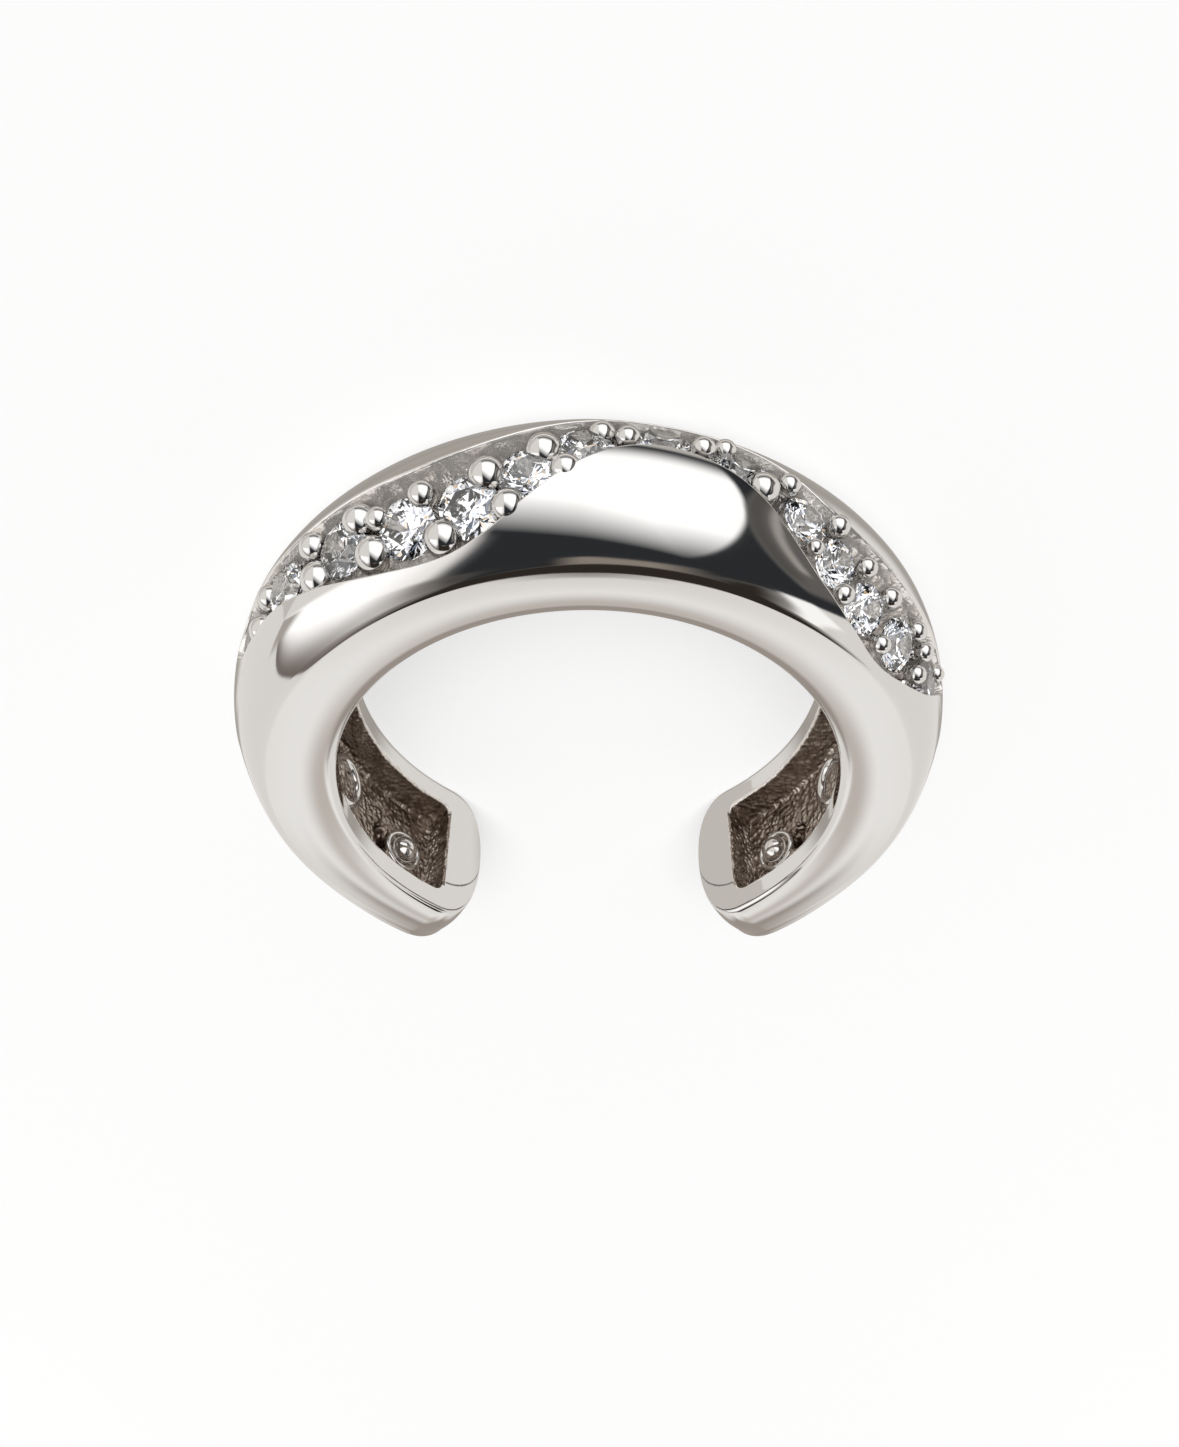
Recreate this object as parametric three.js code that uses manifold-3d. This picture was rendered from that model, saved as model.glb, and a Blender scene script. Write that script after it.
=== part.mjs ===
// Ear cuff: an open cast band with two polished lobes and a wavy row of pavé stones between them.
// Millimetres and degrees. The cuff lies on its back side face, with its front side face up (+Z).
// Angles run round the ring from its top (+Y), positive towards +X, and the mouth is at -Y.
import * as THREE from 'three';
import { mergeVertices } from 'three/addons/utils/BufferGeometryUtils.js';
import Module from 'manifold-3d';

const wasm = await Module();
wasm.setup();

// Driving sizes of the band
const hollowRadius = 4.5;
const bandWidth = 3.2;
const topWall = 2.17;
const tipAngle = 149.5;
const tipRounding = 11;
const edgeRound = 0.18;
const tipEndWidth = 0.5;
const tipSquareness = 2.45;
const tipBluntness = 7;

// Driving sizes of the channel and its stones
const channelDepth = 0.8;
const channelMargin = 0.1;
const channelEndWidth = 0.15;
const stoneDiameter = 1.0;
const stoneSink = 0.24;
const stoneGap = 0.04;
const rowMiddleAngle = 2.2;
const seatClearance = 0.02;
const grainDiameter = 0.55;
const grainPostDiameter = 0.4;
const grainRise = 0.06;
const grainFoot = 0.1;

// Driving sizes of the cast pocket in the hollow's wall
const pocketDepth = 0.7;
const pocketRim = 0.48;
const pocketEndAngle = 139;
const pocketCorner = 0.2;
const bossAngle = 132;
const bossBallDiameter = 0.54;
const bossRingDiameter = 0.72;
const bossWire = 0.12;
const holeAngle = 126;
const holeDiameter = 0.4;
const holeDepth = 0.3;
const holeSide = 0.1;
const cupAngle = 110;
const cupDiameter = 0.95;
const cupSide = 0.45;

// Fineness of the faceted model
const sectionStep = 5;
const tipSteps = 6;
const domeSteps = 12;
const grainSides = 10;
const grainRows = 4;
const pocketSides = 10;
const wireSides = 5;
const floorSteps = 4;

// Sections of the band at a distance from its top: crest and shoulder are shares of the top wall,
// and turn says how far round its ellipse the dome goes before it meets the flat side face.
const bandSections = [
  { angle: 0, crest: 1.0, shoulder: 0.42, turn: 0.94 },
  { angle: 30, crest: 0.975, shoulder: 0.44, turn: 0.94 },
  { angle: 45, crest: 0.96, shoulder: 0.47, turn: 0.965 },
  { angle: 60, crest: 0.945, shoulder: 0.52, turn: 0.985 },
  { angle: 80, crest: 0.895, shoulder: 0.57, turn: 0.995 },
  { angle: 95, crest: 0.8, shoulder: 0.575, turn: 1 },
  { angle: 110, crest: 0.755, shoulder: 0.54, turn: 1 },
  { angle: 125, crest: 0.77, shoulder: 0.47, turn: 1 },
  { angle: 140, crest: 0.815, shoulder: 0.43, turn: 1 },
  { angle: 150, crest: 0.81, shoulder: 0.42, turn: 1 },
];

// Stones along the row: size is a share of the stone's diameter, height is a share of half the
// band's width above its middle, and space is the free way to the next stone in stone gaps.
const stoneRow = [
  { size: 0.9, height: 0.14, space: 14 },
  { size: 1.0, height: 0.24, space: 13.5 },
  { size: 1.0, height: 0.39, space: 7.5 },
  { size: 1.0, height: 0.55, space: 2.2 },
  { size: 1.0, height: 0.55, space: 2 },
  { size: 0.95, height: 0.32, space: 2 },
  { size: 0.95, height: -0.05, space: 8 },
  { size: 1.0, height: -0.29, space: 7.7 },
  { size: 1.0, height: -0.12, space: 10 },
  { size: 0.82, height: 0.24, space: 1 },
  { size: 0.82, height: 0.52, space: 3 },
  { size: 0.86, height: 0.71, space: 5 },
  { size: 0.9, height: 0.7, space: 12 },
  { size: 0.9, height: 0.56, space: 0 },
];

// Edges of the channel at stations along the row, from 0 at its first end to 1 at its last, as
// shares of half the band's width above its middle.
const channelEdges = [
  { station: 0.0, front: 0.4, back: -0.25 },
  { station: 0.063, front: 0.43, back: -0.2 },
  { station: 0.12, front: 0.49, back: -0.12 },
  { station: 0.18, front: 0.63, back: -0.06 },
  { station: 0.22, front: 0.73, back: -0.05 },
  { station: 0.26, front: 0.8, back: -0.04 },
  { station: 0.32, front: 0.85, back: 0.0 },
  { station: 0.36, front: 0.82, back: -0.04 },
  { station: 0.4, front: 0.71, back: -0.13 },
  { station: 0.44, front: 0.51, back: -0.26 },
  { station: 0.48, front: 0.27, back: -0.38 },
  { station: 0.515, front: 0.1, back: -0.48 },
  { station: 0.55, front: 0.02, back: -0.54 },
  { station: 0.585, front: 0.05, back: -0.53 },
  { station: 0.62, front: 0.15, back: -0.46 },
  { station: 0.655, front: 0.33, back: -0.34 },
  { station: 0.69, front: 0.55, back: -0.17 },
  { station: 0.725, front: 0.71, back: 0.02 },
  { station: 0.765, front: 0.82, back: 0.12 },
  { station: 0.81, front: 0.905, back: 0.16 },
  { station: 0.865, front: 0.955, back: 0.19 },
  { station: 0.905, front: 0.925, back: 0.17 },
  { station: 0.95, front: 0.8, back: 0.14 },
  { station: 1.0, front: 0.5, back: 0.2 },
];

// Grains that hold the stones: each stands between a stone and the next one, moved along the row
// and across it by shares of the stone's diameter; size is a share of the grain's diameter.
const grainSpots = [
  { after: 0, along: 0.25, across: -0.15, size: 0.85 },
  { after: 0, along: -0.1, across: 0.3, size: 1.0 },
  { after: 1, along: 0.06, across: -0.4, size: 0.95 },
  { after: 1, along: 0.15, across: 0.3, size: 1.15 },
  { after: 2, along: -0.3, across: -0.4, size: 1.05 },
  { after: 2, along: 0.17, across: -0.24, size: 0.75 },
  { after: 2, along: -0.03, across: 0.28, size: 1.2 },
  { after: 3, along: -0.18, across: -0.44, size: 0.85 },
  { after: 3, along: 0.02, across: 0.3, size: 1.2 },
  { after: 4, along: -0.04, across: -0.37, size: 1.12 },
  { after: 4, along: 0.05, across: 0.32, size: 1.08 },
  { after: 5, along: -0.03, across: -0.3, size: 1.1 },
  { after: 5, along: -0.03, across: 0.32, size: 0.9 },
  { after: 6, along: -0.3, across: -0.24, size: 0.78 },
  { after: 6, along: 0.05, across: 0.0, size: 0.72 },
  { after: 7, along: -0.03, across: -0.04, size: 0.75 },
  { after: 7, along: 0.33, across: -0.32, size: 0.68 },
  { after: 8, along: -0.2, across: 0.18, size: 1.0 },
  { after: 8, along: 0.1, across: -0.34, size: 0.7 },
  { after: 9, along: -0.05, across: 0.34, size: 0.5 },
  { after: 9, along: 0.0, across: -0.5, size: 0.7 },
  { after: 10, along: -0.1, across: 0.26, size: 0.65 },
  { after: 10, along: 0.0, across: -0.42, size: 0.65 },
  { after: 11, along: -0.15, across: -0.44, size: 0.7 },
  { after: 11, along: 0.08, across: 0.24, size: 0.62 },
  { after: 12, along: -0.35, across: -0.44, size: 0.65 },
  { after: 12, along: 0.02, across: 0.18, size: 0.62 },
  { after: 12, along: 0.08, across: -0.28, size: 0.65 },
  { after: 12, along: 0.95, across: -0.36, size: 0.55 },
];

const halfWidth = bandWidth / 2;
const degrees = Math.PI / 180;

// A smooth curve through one column of a table
function column(table, key, name) {
  const places = table.map((row) => row[key]);
  const values = table.map((row) => row[name]);
  const curve = new THREE.CubicInterpolant(places, values, 1);
  return (place) => curve.evaluate(THREE.MathUtils.clamp(place, places[0], places.at(-1)))[0];
}

const crestShare = column(bandSections, 'angle', 'crest');
const shoulderShare = column(bandSections, 'angle', 'shoulder');
const turnShare = column(bandSections, 'angle', 'turn');
const frontEdge = column(channelEdges, 'station', 'front');
const backEdge = column(channelEdges, 'station', 'back');

// A point on the ring: side is its height above the band's middle
function onRing(angle, radius, side) {
  const a = angle * degrees;
  return new THREE.Vector3(radius * Math.sin(a), radius * Math.cos(a), halfWidth + side);
}

// How much of the width and the wall is left at an angle, as the tips round off
function tipShares(angle) {
  const start = tipAngle - tipRounding;
  const way = THREE.MathUtils.clamp((Math.abs(angle) - start) / tipRounding, 0, 1);
  return {
    width: (1 - way ** tipSquareness) ** (1 / tipSquareness),
    wall: (1 - way ** tipBluntness) ** (1 / tipBluntness),
  };
}

// The dome over the band: share runs across it, from -1 at its back to 1 at its front
function dome(angle, share) {
  const { wall } = tipShares(angle);
  const crest = topWall * crestShare(Math.abs(angle)) * wall;
  const shoulder = topWall * shoulderShare(Math.abs(angle)) * wall;
  const turn = Math.min(turnShare(Math.abs(angle)), 0.9999);
  const flat = Math.sqrt(1 - (turn * share) ** 2);
  const drop = (crest - shoulder) * (1 - flat) / (1 - Math.sqrt(1 - turn ** 2));
  return { radius: hollowRadius + crest - drop, flat };
}

// The dome's outward direction at a place on it
function domeNormal(angle, side) {
  const step = 0.01;
  const left = onRing(angle, dome(angle, (side - step) / halfWidth).radius, side - step);
  const right = onRing(angle, dome(angle, (side + step) / halfWidth).radius, side + step);
  const across = right.sub(left);
  const a = angle * degrees;
  const round = new THREE.Vector3(Math.cos(a), -Math.sin(a), 0);
  return across.cross(round).normalize();
}

// A closed skin through sections that all have the same number of points, with flat ends
function sweep(sections) {
  const count = sections[0].length;
  const position = [];
  const index = [];
  for (const section of sections) for (const p of section) position.push(p.x, p.y, p.z);
  for (let i = 0; i < sections.length - 1; i++) {
    for (let j = 0; j < count; j++) {
      const a = i * count + j;
      const b = i * count + (j + 1) % count;
      index.push(a, b, a + count, b, b + count, a + count);
    }
  }
  const last = (sections.length - 1) * count;
  for (let j = 1; j < count - 1; j++) {
    index.push(0, j + 1, j);
    index.push(last, last + j, last + j + 1);
  }
  const skin = new THREE.BufferGeometry();
  skin.setAttribute('position', new THREE.Float32BufferAttribute(position, 3));
  skin.setIndex(index);
  return skin;
}

function solid(shape) {
  const bare = shape.clone();
  bare.deleteAttribute('normal');
  bare.deleteAttribute('uv');
  const merged = mergeVertices(bare, 1e-5);
  const made = new wasm.Manifold(new wasm.Mesh({
    numProp: 3,
    vertProperties: Float32Array.from(merged.attributes.position.array),
    triVerts: Uint32Array.from(merged.index.array),
  }));
  return made;
}

function geometryOf(made) {
  const mesh = made.getMesh();
  const shape = new THREE.BufferGeometry();
  shape.setAttribute('position', new THREE.BufferAttribute(mesh.vertProperties.slice(), 3));
  shape.setIndex(new THREE.BufferAttribute(mesh.triVerts.slice(), 1));
  return shape;
}

// Angles of the band's sections, closer together where the tips round off
function bandAngles() {
  const start = tipAngle - tipRounding;
  const steps = Math.ceil(start / sectionStep);
  const half = [];
  for (let i = 0; i < steps; i++) half.push(start * i / steps);
  const endWay = (1 - (tipEndWidth / bandWidth) ** tipSquareness) ** (1 / tipSquareness);
  for (let i = 0; i <= tipSteps; i++) {
    half.push(start + tipRounding * endWay * Math.sin(90 * degrees * i / tipSteps));
  }
  return [...half.slice(1).reverse().map((a) => -a), ...half];
}

function bandSection(angle) {
  const shares = tipShares(angle);
  const half = halfWidth * shares.width;
  const round = Math.min(edgeRound, half / 2) * shares.wall;
  const points = [];
  for (let i = 0; i <= 2; i++) {
    const a = 45 * degrees * i;
    const radius = hollowRadius + round * (1 - Math.cos(a));
    points.push(onRing(angle, radius, -half + round * (1 - Math.sin(a))));
  }
  for (let i = 0; i <= domeSteps; i++) {
    const share = -Math.cos(Math.PI * i / domeSteps);
    points.push(onRing(angle, dome(angle, share).radius, share * half));
  }
  for (let i = 2; i >= 0; i--) {
    const a = 45 * degrees * i;
    const radius = hollowRadius + round * (1 - Math.cos(a));
    points.push(onRing(angle, radius, half - round * (1 - Math.sin(a))));
  }
  return points;
}

// Stones laid along the row, each at its own angle, height and outward direction
function layStones() {
  const places = [];
  let angle = 0;
  stoneRow.forEach((row, i) => {
    const side = row.height * halfWidth;
    const diameter = row.size * stoneDiameter;
    if (i > 0) {
      const last = places[i - 1];
      const way = (last.diameter + diameter) / 2 + stoneRow[i - 1].space * stoneGap;
      const rise = side - last.side;
      const seat = hollowRadius + topWall - stoneSink;
      angle += Math.sqrt(way ** 2 - rise ** 2) / seat / degrees;
    }
    places.push({ angle, side, diameter });
  });
  const middle = (places[0].angle + places.at(-1).angle) / 2;
  for (const place of places) {
    place.angle += rowMiddleAngle - middle;
    place.normal = domeNormal(place.angle, place.side);
    const surface = onRing(place.angle, dome(place.angle, place.side / halfWidth).radius, place.side);
    place.centre = surface.addScaledVector(place.normal, -stoneSink);
  }
  return places;
}

const stones = layStones();
const endAngle = (stone, sign) => {
  const reach = (stone.diameter / 2 + channelMargin) / (hollowRadius + topWall);
  return stone.angle + sign * reach / degrees;
};
const channelStart = endAngle(stones[0], -1);
const channelEnd = endAngle(stones.at(-1), 1);

// The cutter of the channel: its floor follows the dome below it
function channelCutter() {
  const sections = [];
  const steps = Math.ceil((channelEnd - channelStart) / sectionStep);
  const stations = [];
  for (let i = 0; i <= steps; i++) stations.push(0.5 - 0.5 * Math.cos(Math.PI * i / steps));
  for (const station of stations) {
    const angle = THREE.MathUtils.lerp(channelStart, channelEnd, station);
    const middle = (frontEdge(station) + backEdge(station)) / 2;
    const endWay = Math.min(angle - channelStart, channelEnd - angle) * degrees * hollowRadius;
    const near = THREE.MathUtils.clamp(1 - endWay / (stoneDiameter / 2), 0, 1);
    const open = (frontEdge(station) - backEdge(station)) / 2 * Math.max(Math.sqrt(1 - near ** 2), channelEndWidth);
    const points = [];
    for (let i = 0; i <= floorSteps; i++) {
      const share = middle - open + open * 2 * i / floorSteps;
      const { radius, flat } = dome(angle, share);
      points.push(onRing(angle, radius - channelDepth * flat, share * halfWidth));
    }
    const above = hollowRadius + topWall + channelDepth;
    points.push(onRing(angle, above, (middle + open) * halfWidth));
    points.push(onRing(angle, above, (middle - open) * halfWidth));
    sections.push(points.reverse());
  }
  return solid(sweep(sections));
}

// The cutter of the cast pocket, which opens into the hollow
function pocketCutter() {
  const half = halfWidth - pocketRim;
  const cornerAngle = pocketCorner / hollowRadius / degrees;
  const straight = pocketEndAngle - cornerAngle;
  const steps = Math.ceil(2 * straight / sectionStep);
  const angles = [-pocketEndAngle];
  for (let i = 0; i <= steps; i++) angles.push(-straight + 2 * straight * i / steps);
  angles.push(pocketEndAngle);
  const sections = angles.map((angle) => {
    const side = Math.abs(angle) > straight ? half - pocketCorner : half;
    const inside = hollowRadius - edgeRound;
    const bottom = hollowRadius + pocketDepth;
    return [
      onRing(angle, inside, -side),
      onRing(angle, bottom, -side),
      onRing(angle, bottom, side),
      onRing(angle, inside, side),
    ];
  });
  return solid(sweep(sections));
}

// A brilliant: table, star, kite and girdle facets above, and a pointed pavilion below
function brilliant(diameter) {
  const girdle = diameter / 2;
  const tableRadius = 0.54 * girdle;
  const crownHeight = 0.3 * girdle;
  const girdleHeight = 0.06 * girdle;
  const pavilionDepth = 0.86 * girdle;
  const starRadius = 0.79 * girdle;
  const lowerRadius = 0.24 * girdle;
  const middle = Math.cos(22.5 * degrees);
  const starHeight = crownHeight * (girdle - starRadius * middle) / (girdle - tableRadius);
  const lowerHeight = -pavilionDepth * (girdle - lowerRadius * middle) / girdle;
  const position = [];
  const ring = (radius, z, offset) => {
    const start = position.length / 3;
    for (let k = 0; k < 8; k++) {
      const a = (k + offset) * 45 * degrees;
      position.push(radius * Math.cos(a), radius * Math.sin(a), z);
    }
    return (k) => start + (k + 8) % 8;
  };
  const table = ring(tableRadius, crownHeight + girdleHeight / 2, 0);
  const star = ring(starRadius, starHeight + girdleHeight / 2, 0.5);
  const upperMain = ring(girdle, girdleHeight / 2, 0);
  const upperHalf = ring(girdle, girdleHeight / 2, 0.5);
  const lowerMain = ring(girdle, -girdleHeight / 2, 0);
  const lowerHalf = ring(girdle, -girdleHeight / 2, 0.5);
  const belly = ring(lowerRadius, lowerHeight - girdleHeight / 2, 0.5);
  const culet = position.length / 3;
  position.push(0, 0, -pavilionDepth - girdleHeight / 2);
  const index = [];
  for (let k = 1; k < 7; k++) index.push(table(0), table(k), table(k + 1));
  for (let k = 0; k < 8; k++) {
    index.push(table(k), star(k), table(k + 1));
    index.push(table(k), upperMain(k), star(k), table(k), star(k - 1), upperMain(k));
    index.push(star(k), upperMain(k), upperHalf(k), star(k), upperHalf(k), upperMain(k + 1));
    index.push(upperMain(k), lowerMain(k), lowerHalf(k), upperMain(k), lowerHalf(k), upperHalf(k));
    index.push(upperHalf(k), lowerHalf(k), lowerMain(k + 1));
    index.push(upperHalf(k), lowerMain(k + 1), upperMain(k + 1));
    index.push(lowerMain(k), belly(k), lowerHalf(k), lowerHalf(k), belly(k), lowerMain(k + 1));
    index.push(culet, belly(k), lowerMain(k), culet, lowerMain(k), belly(k - 1));
  }
  const gem = new THREE.BufferGeometry();
  gem.setAttribute('position', new THREE.Float32BufferAttribute(position, 3));
  gem.setIndex(index);
  return gem;
}

// Turns and moves a shape whose own axis is +Z onto a place with an outward direction
function place(shape, centre, normal) {
  const turn = new THREE.Quaternion().setFromUnitVectors(new THREE.Vector3(0, 0, 1), normal);
  return shape.applyQuaternion(turn).translate(centre.x, centre.y, centre.z);
}

// A ball on its post, with its foot sunk into the channel floor
function grain(spot) {
  const before = stones[spot.after];
  const next = stones[spot.after + 1];
  const seat = hollowRadius + topWall;
  const roundWay = (next.angle - before.angle) * degrees * seat;
  const sideWay = next.side - before.side;
  const length = Math.hypot(roundWay, sideWay);
  const along = spot.along * stoneDiameter;
  const across = spot.across * stoneDiameter;
  const angle = (before.angle + next.angle) / 2
    + (along * roundWay - across * sideWay) / length / seat / degrees;
  const side = (before.side + next.side) / 2 + (along * sideWay + across * roundWay) / length;
  const normal = domeNormal(angle, side);
  const radius = grainDiameter * spot.size / 2;
  const surface = onRing(angle, dome(angle, side / halfWidth).radius, side);
  const centre = surface.addScaledVector(normal, grainRise - radius);
  const post = grainPostDiameter * spot.size / 2;
  const waist = Math.PI - Math.asin(post / radius);
  const profile = [];
  for (let i = 0; i <= grainRows; i++) {
    const a = waist * i / grainRows;
    profile.push(new THREE.Vector2(radius * Math.sin(a), radius * Math.cos(a)));
  }
  const foot = -(channelDepth + grainRise - radius + grainFoot);
  profile.push(new THREE.Vector2(post, foot), new THREE.Vector2(0, foot));
  const shape = new THREE.LatheGeometry(profile.reverse(), grainSides).rotateX(90 * degrees);
  return solid(place(shape, centre, normal));
}

// Inside each arm the casting has a ball in a ring, a blind hole and the rim of a small cup
function ringAround(diameter, wire) {
  const profile = [];
  for (let i = 0; i <= wireSides; i++) {
    const a = 2 * Math.PI * i / wireSides;
    profile.push(new THREE.Vector2(diameter / 2 + wire / 2 * Math.cos(a), wire / 2 * Math.sin(a)));
  }
  return new THREE.LatheGeometry(profile, pocketSides).rotateX(90 * degrees);
}

function pocketPoint(angle, side, lift) {
  return onRing(angle, hollowRadius + pocketDepth - lift, side);
}

function inward(angle) {
  return new THREE.Vector3(-Math.sin(angle * degrees), -Math.cos(angle * degrees), 0);
}

function pocketBoss(sign) {
  const angle = sign * bossAngle;
  const ball = new THREE.SphereGeometry(bossBallDiameter / 2, pocketSides, pocketSides / 2);
  place(ball, pocketPoint(angle, 0, 0), inward(angle));
  const ring = place(ringAround(bossRingDiameter, bossWire), pocketPoint(angle, 0, 0), inward(angle));
  const cup = place(ringAround(cupDiameter, bossWire * 2),
    pocketPoint(sign * cupAngle, -cupSide, 0), inward(sign * cupAngle));
  return solid(ball).add(solid(ring)).add(solid(cup));
}

function pocketHole(sign) {
  const angle = sign * holeAngle;
  const hole = new THREE.CylinderGeometry(holeDiameter / 2, holeDiameter / 2, holeDepth * 2, pocketSides);
  return solid(place(hole.rotateX(90 * degrees), pocketPoint(angle, -holeSide, 0), inward(angle)));
}

function cuffSolid() {
  let cuff = solid(sweep(bandAngles().map(bandSection)));
  cuff = cuff.subtract(channelCutter()).subtract(pocketCutter());
  for (const sign of [-1, 1]) cuff = cuff.add(pocketBoss(sign)).subtract(pocketHole(sign));
  for (const spot of grainSpots) cuff = cuff.add(grain(spot));
  for (const stone of stones) {
    const seat = brilliant(stone.diameter + 2 * seatClearance);
    cuff = cuff.subtract(solid(place(seat, stone.centre, stone.normal)));
  }
  return cuff;
}

const polishedSilver = new THREE.MeshStandardMaterial({ color: 0xd9d7d3, metalness: 1, roughness: 0.08 });
const clearStone = new THREE.MeshStandardMaterial({ color: 0xf2f6fa, metalness: 0, roughness: 0.02 });

const group = new THREE.Group();

const cuff = new THREE.Mesh(geometryOf(cuffSolid()), polishedSilver);
cuff.name = 'cuff';
group.add(cuff);

stones.forEach((stone, i) => {
  const gem = new THREE.Mesh(brilliant(stone.diameter), clearStone);
  gem.name = `stone_${String(i + 1).padStart(2, '0')}`;
  gem.position.copy(stone.centre);
  gem.quaternion.setFromUnitVectors(new THREE.Vector3(0, 0, 1), stone.normal);
  group.add(gem);
});

// The cuff stands with the middle of its outline over the origin and its lowest face at z = 0
const outline = new THREE.Box3().setFromObject(group);
const middle = outline.getCenter(new THREE.Vector3());
group.position.set(-middle.x, -middle.y, -outline.min.z);

export default group;
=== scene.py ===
import math
from functools import partial

import bmesh
import bpy
import numpy as np
from mathutils import Matrix, Vector, noise


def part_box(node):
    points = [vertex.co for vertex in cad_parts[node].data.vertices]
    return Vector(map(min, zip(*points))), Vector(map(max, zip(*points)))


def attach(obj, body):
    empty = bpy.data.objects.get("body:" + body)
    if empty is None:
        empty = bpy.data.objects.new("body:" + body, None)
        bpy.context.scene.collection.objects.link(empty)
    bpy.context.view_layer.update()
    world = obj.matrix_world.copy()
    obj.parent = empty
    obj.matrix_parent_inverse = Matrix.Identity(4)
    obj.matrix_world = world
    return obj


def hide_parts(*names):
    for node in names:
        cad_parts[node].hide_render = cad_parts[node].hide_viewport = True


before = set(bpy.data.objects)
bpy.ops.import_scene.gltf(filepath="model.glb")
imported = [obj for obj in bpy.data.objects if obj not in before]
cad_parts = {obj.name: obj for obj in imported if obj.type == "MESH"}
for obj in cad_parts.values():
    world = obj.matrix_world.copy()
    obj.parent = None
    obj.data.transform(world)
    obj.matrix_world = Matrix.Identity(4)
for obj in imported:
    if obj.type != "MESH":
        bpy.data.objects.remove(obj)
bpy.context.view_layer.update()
print("frame loaded,", len(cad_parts), "solids")

mm = 0.001
slack = 0.01            # mm, in telling which surface a point lies on
scene = bpy.context.scene


# Camera at the photograph's angle: it looks down on the cuff from the top of the ring
camera = {
    "offset": (0.15, 18.285, 16.763),    # mm from the middle of the hollow, which it looks at
    "roll": 180.25,
    "lens": 32.94,
    "shift": (0.00076, 0.0093),
    "clip": (1, 10000),
}


def makeCamera():
    data = bpy.data.cameras.new("camera")
    data.sensor_width = 36
    data.lens = camera["lens"]
    data.shift_x, data.shift_y = camera["shift"]
    data.clip_start, data.clip_end = (distance * mm for distance in camera["clip"])
    offset = Vector(camera["offset"]) * mm
    place = Vector((0, ringY, halfWidth)) * mm + offset
    look = (-offset).to_track_quat("-Z", "Y").to_matrix()
    turn = Matrix.Rotation(math.radians(camera["roll"]), 3, "Z")
    obj = bpy.data.objects.new("camera", data)
    obj.matrix_world = Matrix.Translation(place) @ (look @ turn).to_4x4()
    scene.collection.objects.link(obj)
    scene.camera = obj


# Band: the same named sizes as the casting's own source, in mm and degrees
band = {
    "hollowRadius": 4.5,
    "tipReach": 5.2174,       # from the ring's middle to the lowest point of its tips
    "width": 3.2,
    "topWall": 2.17,
    "tipAngle": 149.5,
    "tipRounding": 11,
    "tipSquareness": 2.45,
    "tipBluntness": 7,
    "innerEdge": (0.26, 0.09),     # rounding of the hollow's edges, at the top and on the arms
    "edgeTurn": (60, 110),         # angles between which the first turns into the second
    "creaseEdge": 0.04,
    "crown": (0.035, 0.085),       # how much the front face rounds off, at the top and on the arms
    "crownTurn": (35, 85),
    "crownFade": 1.3,              # it fades past this many halves of the face's height
    "crownFrom": 0.55,             # share of half the width, above which points follow the crown
    "angleStep": 0.8,
    "leastStep": 0.0005,           # sections closer than this are one
    "tipSteps": 18,
    "steps": {"face": 8, "dome": 26, "wall": 5, "channelFloor": 22, "land": 4, "pocketFloor": 34},
    "cornerSteps": 6,
    "cornerShare": 0.45,           # the most of a side that a rounded corner takes
    "mergeWithin": 0.00002,        # points closer than this are one
    # angle from the top; crest and shoulder as shares of the top wall; turn of the dome's ellipse
    "sections": [
        (0, 1.0, 0.42, 0.94), (30, 0.975, 0.44, 0.94), (45, 0.96, 0.47, 0.965),
        (60, 0.945, 0.52, 0.985), (80, 0.895, 0.57, 0.995), (95, 0.8, 0.575, 1),
        (110, 0.755, 0.54, 1), (125, 0.77, 0.47, 1), (140, 0.815, 0.43, 1), (150, 0.81, 0.42, 1),
    ],
}

# Channel for the stones, and the stones' own row
channel = {
    "depth": 0.8,
    "margin": 0.1,
    "rimEdge": 0.05,
    "floorFillet": 0.14,
    "endSteps": 12,
    "floorCast": 0.5,         # 0 polished, 0.5 satin, 1 raw casting
    "wallCast": 0.15,
    # place along the row; front and back edge as shares of half the width
    "edges": [
        (0.0, 0.4, -0.25), (0.063, 0.43, -0.2), (0.12, 0.49, -0.12), (0.18, 0.63, -0.06),
        (0.22, 0.73, -0.05), (0.26, 0.8, -0.04), (0.32, 0.85, 0.0), (0.36, 0.82, -0.04),
        (0.4, 0.71, -0.13), (0.44, 0.51, -0.26), (0.48, 0.27, -0.38), (0.515, 0.1, -0.48),
        (0.55, 0.02, -0.54), (0.585, 0.05, -0.53), (0.62, 0.15, -0.46), (0.655, 0.33, -0.34),
        (0.69, 0.55, -0.17), (0.725, 0.71, 0.02), (0.765, 0.82, 0.12), (0.81, 0.905, 0.16),
        (0.865, 0.955, 0.19), (0.905, 0.925, 0.17), (0.95, 0.8, 0.14), (1.0, 0.5, 0.2),
    ],
}

stoneRow = {
    "diameter": 1.0,
    "sink": 0.24,
    "gap": 0.04,
    "middleAngle": 2.2,
    # size, height above the band's middle, free way to the next stone
    "stones": [
        (0.9, 0.14, 14), (1.0, 0.24, 13.5), (1.0, 0.39, 7.5), (1.0, 0.55, 2.2), (1.0, 0.55, 2),
        (0.95, 0.32, 2), (0.95, -0.05, 8), (1.0, -0.29, 7.7), (1.0, -0.12, 10), (0.82, 0.24, 1),
        (0.82, 0.52, 3), (0.86, 0.71, 5), (0.9, 0.7, 12), (0.9, 0.56, 0),
    ],
}

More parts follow.
